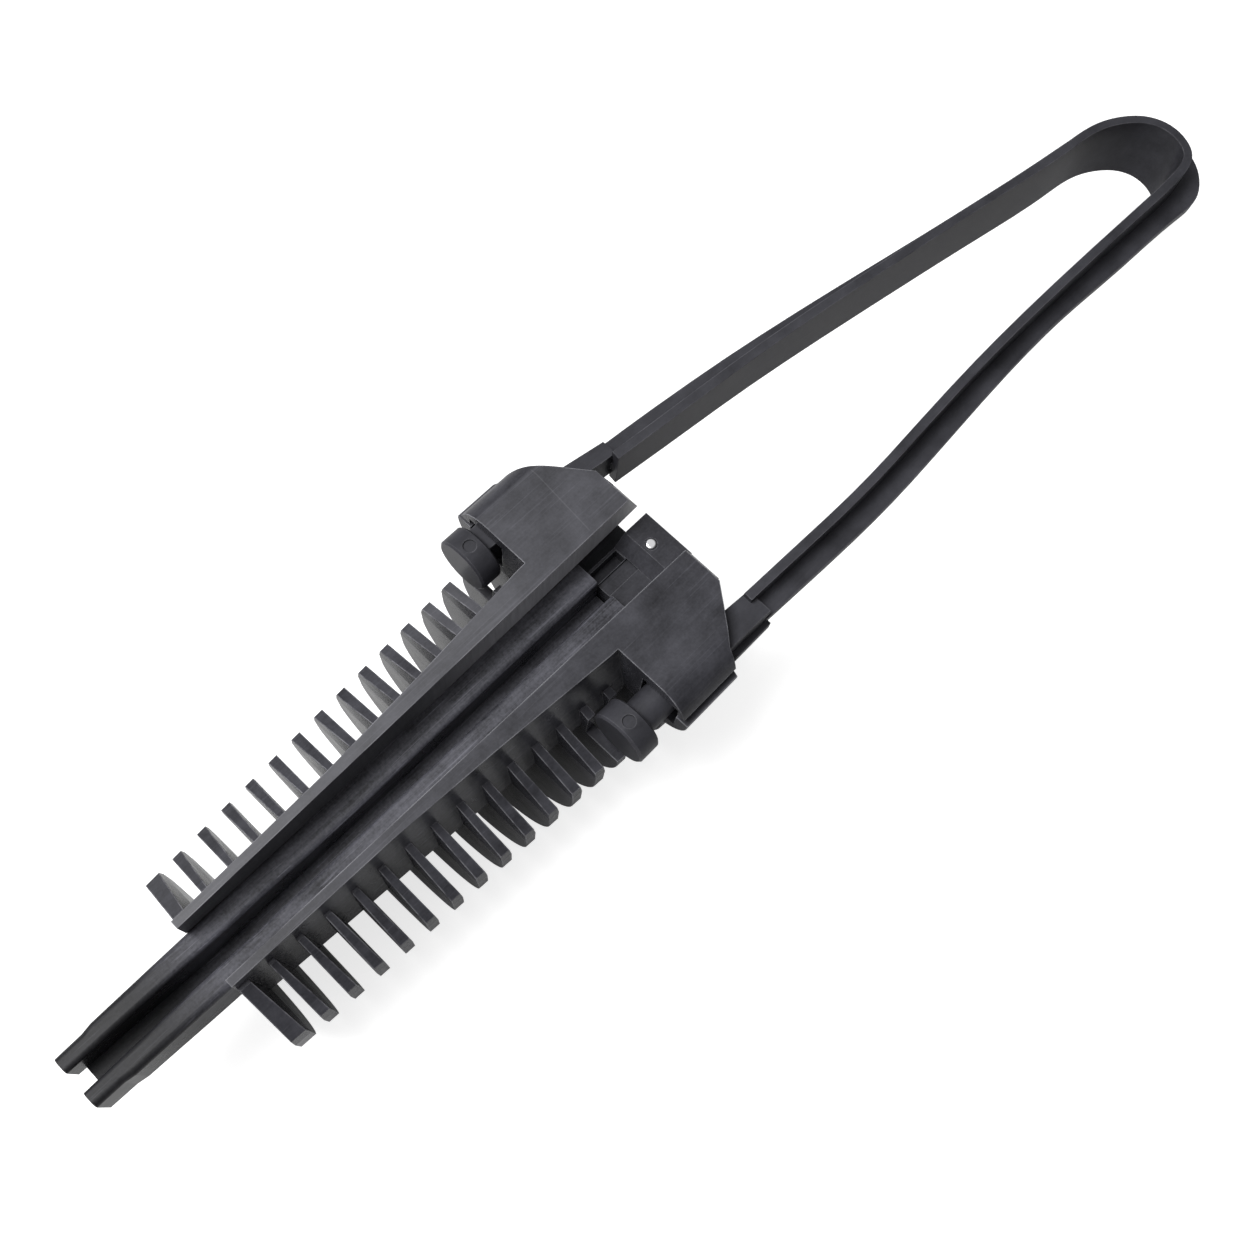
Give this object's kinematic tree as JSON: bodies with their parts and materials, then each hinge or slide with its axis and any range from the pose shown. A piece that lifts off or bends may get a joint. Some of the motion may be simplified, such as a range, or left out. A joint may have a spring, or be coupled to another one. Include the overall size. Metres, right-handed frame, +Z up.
{
  "type": "wedge anchor clamp",
  "caption": "Black plastic dead-end clamp for an aerial fibre cable: finned tapered body, sliding wedges with a cable gap, and a moulded loop bail.",
  "frame": {"origin": "middle of the clamp's box in plan, on the flat base of the fins", "axes": "+X along the cable axis toward the bail's bend, +Z up out of the open side of the trough"},
  "size_m": [0.509, 0.1044, 0.0678],
  "materials": {
    "body_plastic": "charcoal black glass-filled moulding, lightly scuffed",
    "wedge_plastic": "charcoal black moulding with lengthwise scratches",
    "stop_plastic": "charcoal black moulding",
    "pin_steel": "bright domed steel",
    "bail_plastic": "charcoal black smooth moulding"
  },
  "bodies": {
    "body": {"body": "body_plastic", "wedge_stop": "stop_plastic", "stop_pin": "pin_steel"},
    "wedge_left": {"wedge_left": "wedge_plastic"},
    "wedge_right": {"wedge_right": "wedge_plastic"},
    "bail": {"bail": "bail_plastic"}
  },
  "joints": [
    {"name": "wedge_left_slide", "type": "slide", "parent": "body", "child": "wedge_left", "axis": [0.9991, 0.0435, 0], "range_m": [-0.02, 0]},
    {"name": "wedge_right_slide", "type": "slide", "parent": "body", "child": "wedge_right", "axis": [0.9991, -0.0435, 0], "range_m": [-0.02, 0]},
    {"name": "bail_slide", "type": "slide", "parent": "body", "child": "bail", "axis": [1, 0, 0], "range_m": [-0.003, 0.0028]}
  ],
  "couplings": [
    {"joint": "wedge_right_slide", "follows": "wedge_left_slide", "ratio": 1}
  ]
}
